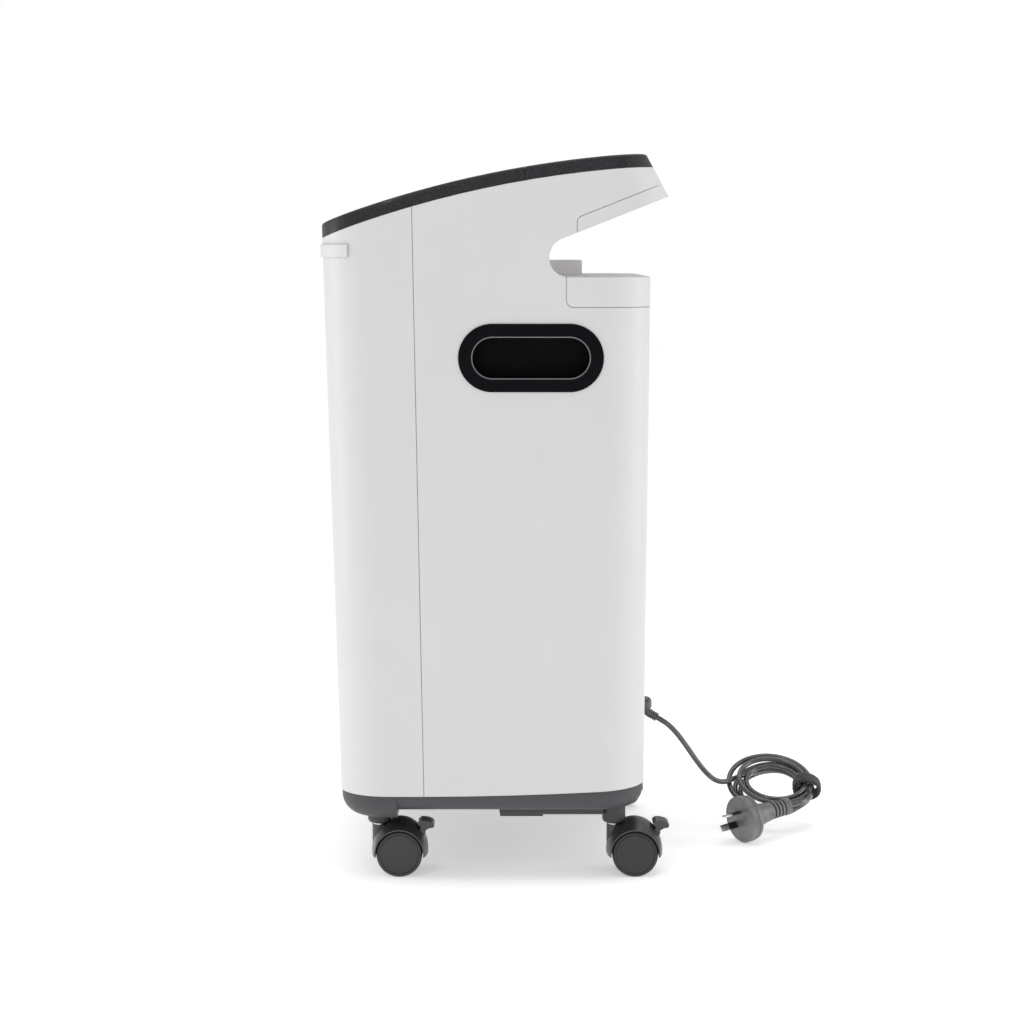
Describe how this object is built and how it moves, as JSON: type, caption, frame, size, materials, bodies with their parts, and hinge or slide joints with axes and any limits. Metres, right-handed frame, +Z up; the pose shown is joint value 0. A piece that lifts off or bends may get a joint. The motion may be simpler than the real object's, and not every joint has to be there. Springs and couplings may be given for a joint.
{
  "type": "oxygen concentrator",
  "caption": "Free-standing home oxygen concentrator on twin-wheel casters, with side grips, a rear carry notch, a sloping control panel and a tied power cord.",
  "frame": {"origin": "on the floor, under the middle of the machine's box without its cord", "axes": "+Z up, -Y the front with the raised band and the outlet bay, +Y the rear with the notch and the cord, X across"},
  "size_m": [0.3732, 0.4584, 0.6242],
  "materials": {
    "shell_white": "satin",
    "panel_dark": "satin",
    "base_dark": "fine textured",
    "grip_black": "satin",
    "key_grey": "satin",
    "window_black": "polished",
    "clip_grey": "satin",
    "bay_dark": "fine textured",
    "clear_acrylic": "polished",
    "float_red": "polished",
    "knob_black": "satin",
    "outlet_metal": "polished",
    "foam_grey": "open foam",
    "screw_steel": "zinc plated",
    "sheet_steel": "zinc",
    "rubber_black": "matt",
    "cast_alloy": "cast",
    "canister_alloy": "drawn",
    "board_green": "solder mask",
    "capacitor_white": "satin",
    "caster_black": "fine textured",
    "wheel_black": "fine textured",
    "pin_steel": "zinc plated",
    "cord_grey": "pvc",
    "tie_fabric": "hook and loop",
    "plug_grey": "pvc",
    "plug_pin": "plated",
    "hose_grey": "silicone"
  },
  "bodies": {
    "root": {"front_shell": "shell_white", "rear_shell": "shell_white", "base_pan": "base_dark", "control_panel": "panel_dark", "rear_top_cap": "panel_dark", "handle_liner": "shell_white", "shelf_cap": "shell_white", "display_window": "window_black", "grip_right": "grip_black", "grip_left": "grip_black", "tubing_clip": "clip_grey", "outlet_bay": "bay_dark", "flow_tube": "clear_acrylic", "oxygen_outlet": "outlet_metal", "filter_foam": "foam_grey", "strain_relief": "cord_grey", "shell_screws": "screw_steel", "inner_frame": "sheet_steel", "isolation_mounts": "rubber_black", "compressor_case": "cast_alloy", "compressor_heads": "cast_alloy", "fan_frame": "knob_black", "sieve_beds": "canister_alloy", "product_tank": "canister_alloy", "valve_manifold": "cast_alloy", "heat_exchanger": "canister_alloy", "main_board": "board_green", "run_capacitor": "capacitor_white", "inlet_filter": "capacitor_white", "inner_hoses": "hose_grey", "power_cord": "cord_grey", "cord_coil": "cord_grey", "cord_tie": "tie_fabric", "plug_body": "plug_grey", "plug_pins": "plug_pin"},
    "key_minus": {"key_minus": "key_grey"},
    "key_timer": {"key_timer": "key_grey"},
    "key_plus": {"key_plus": "key_grey"},
    "power_rocker": {"power_rocker": "knob_black"},
    "flow_knob": {"flow_knob": "knob_black"},
    "flow_float": {"flow_float": "float_red"},
    "filter_door": {"filter_door": "shell_white"},
    "breaker_button": {"breaker_button": "knob_black"},
    "fan_rotor": {"fan_rotor": "knob_black"},
    "caster_front_right": {"caster_hood_front_right": "caster_black", "caster_pins_front_right": "pin_steel"},
    "caster_wheels_front_right": {"caster_wheels_front_right": "wheel_black"},
    "caster_brake_front_right": {"caster_brake_front_right": "caster_black"},
    "caster_front_left": {"caster_hood_front_left": "caster_black", "caster_pins_front_left": "pin_steel"},
    "caster_wheels_front_left": {"caster_wheels_front_left": "wheel_black"},
    "caster_brake_front_left": {"caster_brake_front_left": "caster_black"},
    "caster_rear_right": {"caster_hood_rear_right": "caster_black", "caster_pins_rear_right": "pin_steel"},
    "caster_wheels_rear_right": {"caster_wheels_rear_right": "wheel_black"},
    "caster_brake_rear_right": {"caster_brake_rear_right": "caster_black"},
    "caster_rear_left": {"caster_hood_rear_left": "caster_black", "caster_pins_rear_left": "pin_steel"},
    "caster_wheels_rear_left": {"caster_wheels_rear_left": "wheel_black"},
    "caster_brake_rear_left": {"caster_brake_rear_left": "caster_black"}
  },
  "joints": [
    {"name": "key_minus_press", "type": "slide", "parent": "root", "child": "key_minus", "axis": [0, 0.2242, -0.9745], "range_m": [0, 0.0008], "stiffness_N_per_m": 600},
    {"name": "key_timer_press", "type": "slide", "parent": "root", "child": "key_timer", "axis": [0, 0.2242, -0.9745], "range_m": [0, 0.0008], "stiffness_N_per_m": 600},
    {"name": "key_plus_press", "type": "slide", "parent": "root", "child": "key_plus", "axis": [0, 0.2242, -0.9745], "range_m": [0, 0.0008], "stiffness_N_per_m": 600},
    {"name": "power_rocker_tilt", "type": "hinge", "parent": "root", "child": "power_rocker", "pos_m": [0.027, -0.11224, 0.403], "axis": [1, 0, 0], "range_deg": [0, 14]},
    {"name": "flow_knob_turn", "type": "hinge", "parent": "root", "child": "flow_knob", "pos_m": [-0.027, -0.11824, 0.402], "axis": [0, -1, 0], "range_deg": [0, 270]},
    {"name": "flow_float_rise", "type": "slide", "parent": "root", "child": "flow_float", "axis": [0, 0, 1], "range_m": [0, 0.0585]},
    {"name": "filter_door_open", "type": "hinge", "parent": "root", "child": "filter_door", "pos_m": [0, 0.1285, 0.3015], "axis": [-1, 0, 0], "range_deg": [0, 62]},
    {"name": "breaker_reset", "type": "slide", "parent": "root", "child": "breaker_button", "axis": [0, 1, 0], "range_m": [0, 0.003]},
    {"name": "fan_spin", "type": "hinge", "parent": "root", "child": "fan_rotor", "pos_m": [0, 0.04, 0.29], "axis": [0, 0, 1], "continuous": true},
    {"name": "caster_swivel_front_right", "type": "hinge", "parent": "root", "child": "caster_front_right", "pos_m": [0.14, -0.1028, 0.05], "axis": [0, 0, 1], "continuous": true},
    {"name": "caster_roll_front_right", "type": "hinge", "parent": "caster_front_right", "child": "caster_wheels_front_right", "pos_m": [0.14, -0.0848, 0.02], "axis": [1, 0, 0], "continuous": true},
    {"name": "caster_brake_front_right", "type": "hinge", "parent": "caster_front_right", "child": "caster_brake_front_right", "pos_m": [0.14, -0.0653, 0.037], "axis": [-1, 0, 0], "range_deg": [0, 18]},
    {"name": "caster_swivel_front_left", "type": "hinge", "parent": "root", "child": "caster_front_left", "pos_m": [-0.14, -0.1028, 0.05], "axis": [0, 0, 1], "continuous": true},
    {"name": "caster_roll_front_left", "type": "hinge", "parent": "caster_front_left", "child": "caster_wheels_front_left", "pos_m": [-0.14, -0.0848, 0.02], "axis": [1, 0, 0], "continuous": true},
    {"name": "caster_brake_front_left", "type": "hinge", "parent": "caster_front_left", "child": "caster_brake_front_left", "pos_m": [-0.14, -0.0653, 0.037], "axis": [-1, 0, 0], "range_deg": [0, 18]},
    {"name": "caster_swivel_rear_right", "type": "hinge", "parent": "root", "child": "caster_rear_right", "pos_m": [0.14, 0.1026, 0.05], "axis": [0, 0, 1], "continuous": true},
    {"name": "caster_roll_rear_right", "type": "hinge", "parent": "caster_rear_right", "child": "caster_wheels_rear_right", "pos_m": [0.14, 0.1206, 0.02], "axis": [1, 0, 0], "continuous": true},
    {"name": "caster_brake_rear_right", "type": "hinge", "parent": "caster_rear_right", "child": "caster_brake_rear_right", "pos_m": [0.14, 0.1401, 0.037], "axis": [-1, 0, 0], "range_deg": [0, 18]},
    {"name": "caster_swivel_rear_left", "type": "hinge", "parent": "root", "child": "caster_rear_left", "pos_m": [-0.14, 0.1026, 0.05], "axis": [0, 0, 1], "continuous": true},
    {"name": "caster_roll_rear_left", "type": "hinge", "parent": "caster_rear_left", "child": "caster_wheels_rear_left", "pos_m": [-0.12411, 0.11105, 0.02], "axis": [0.4695, -0.8829, 0], "continuous": true},
    {"name": "caster_brake_rear_left", "type": "hinge", "parent": "caster_rear_left", "child": "caster_brake_rear_left", "pos_m": [-0.10689, 0.12021, 0.037], "axis": [-0.4695, 0.8829, 0], "range_deg": [0, 18]}
  ]
}
